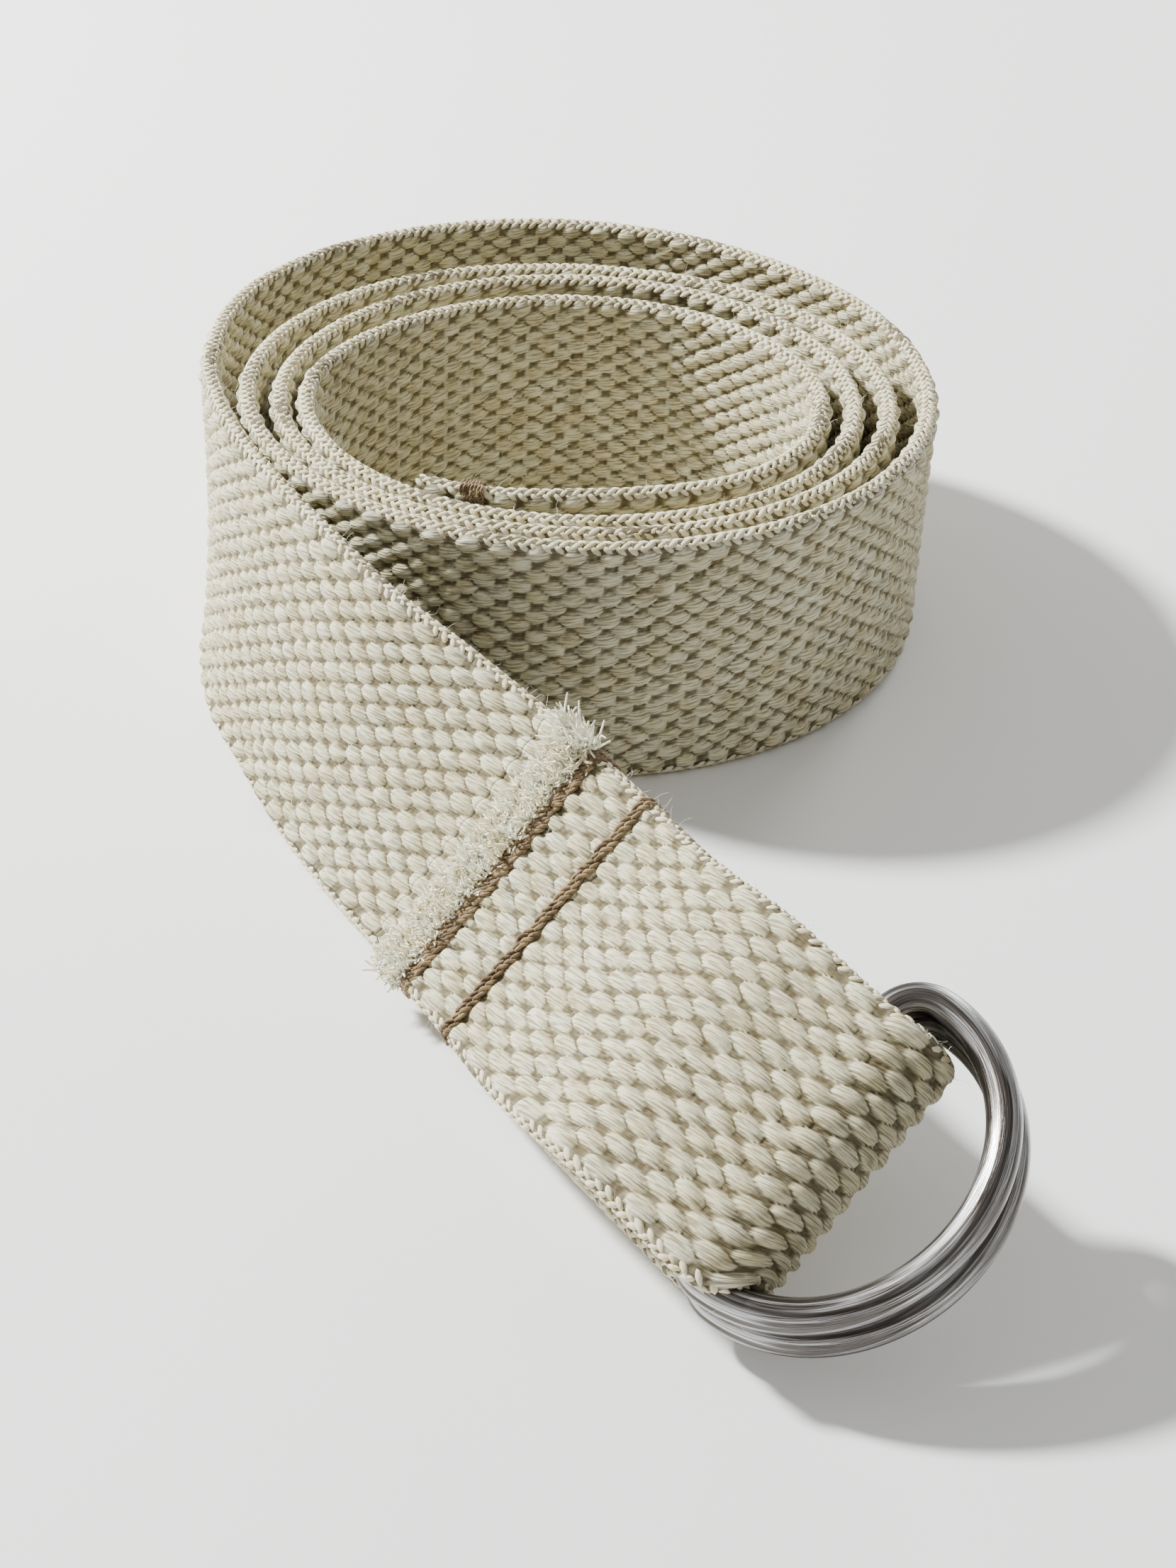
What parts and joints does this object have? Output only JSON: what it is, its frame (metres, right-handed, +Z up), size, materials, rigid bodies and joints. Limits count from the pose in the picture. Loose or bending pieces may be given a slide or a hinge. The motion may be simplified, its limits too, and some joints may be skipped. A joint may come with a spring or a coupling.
{
  "type": "stretching strap",
  "caption": "Coiled cotton webbing stretching strap whose free end is folded and sewn into a loop that holds round-wire D-rings.",
  "frame": {"origin": "centre of the object's footprint box, on the surface that the coil stands on", "axes": "+Z up along the coil's axis, -Y towards the sewn loop and the rings, +X to the right seen from the rings"},
  "size_m": [0.113, 0.2342, 0.0382],
  "materials": {
    "webbing": "undyed thick cotton webbing, coarse plain weave, matt",
    "thread": "brown twisted sewing thread",
    "ring_steel": "plated round wire, bright with fine drawn lines"
  },
  "bodies": {
    "coil": {"coil_turn_inner": "webbing", "coil_turn_second": "webbing", "coil_turn_third": "webbing", "coil_turn_outer": "webbing", "lead_webbing": "webbing", "tail_thread_outer": "thread", "tail_thread_inner": "thread"},
    "loop_end": {"loop_under_layer": "webbing", "loop_fold": "webbing", "loop_over_layer": "webbing", "loop_thread_1_over": "thread", "loop_thread_1_under": "thread", "loop_thread_2_over": "thread", "loop_thread_2_under": "thread"},
    "upper_ring": {"d_ring_upper": "ring_steel"},
    "lower_ring": {"d_ring_lower": "ring_steel"}
  },
  "joints": [
    {"name": "lead_flex", "type": "hinge", "parent": "coil", "child": "loop_end", "pos_m": [-0.02617, -0.02599, 0.01693], "axis": [-0.5659, -0.3029, -0.7668], "range_deg": [0, 45]},
    {"name": "upper_ring_swing", "type": "hinge", "parent": "loop_end", "child": "upper_ring", "pos_m": [0.01461, -0.09405, 0.01809], "axis": [-0.6891, -0.5988, -0.4082], "range_deg": [0, 125]},
    {"name": "lower_ring_hang", "type": "hinge", "parent": "loop_end", "child": "lower_ring", "pos_m": [0.01619, -0.09327, 0.01394], "axis": [-0.6891, -0.5988, -0.4082], "range_deg": [-45, 0]}
  ],
  "couplings": [
    {"joint": "lower_ring_hang", "follows": "lead_flex", "ratio": -1}
  ]
}
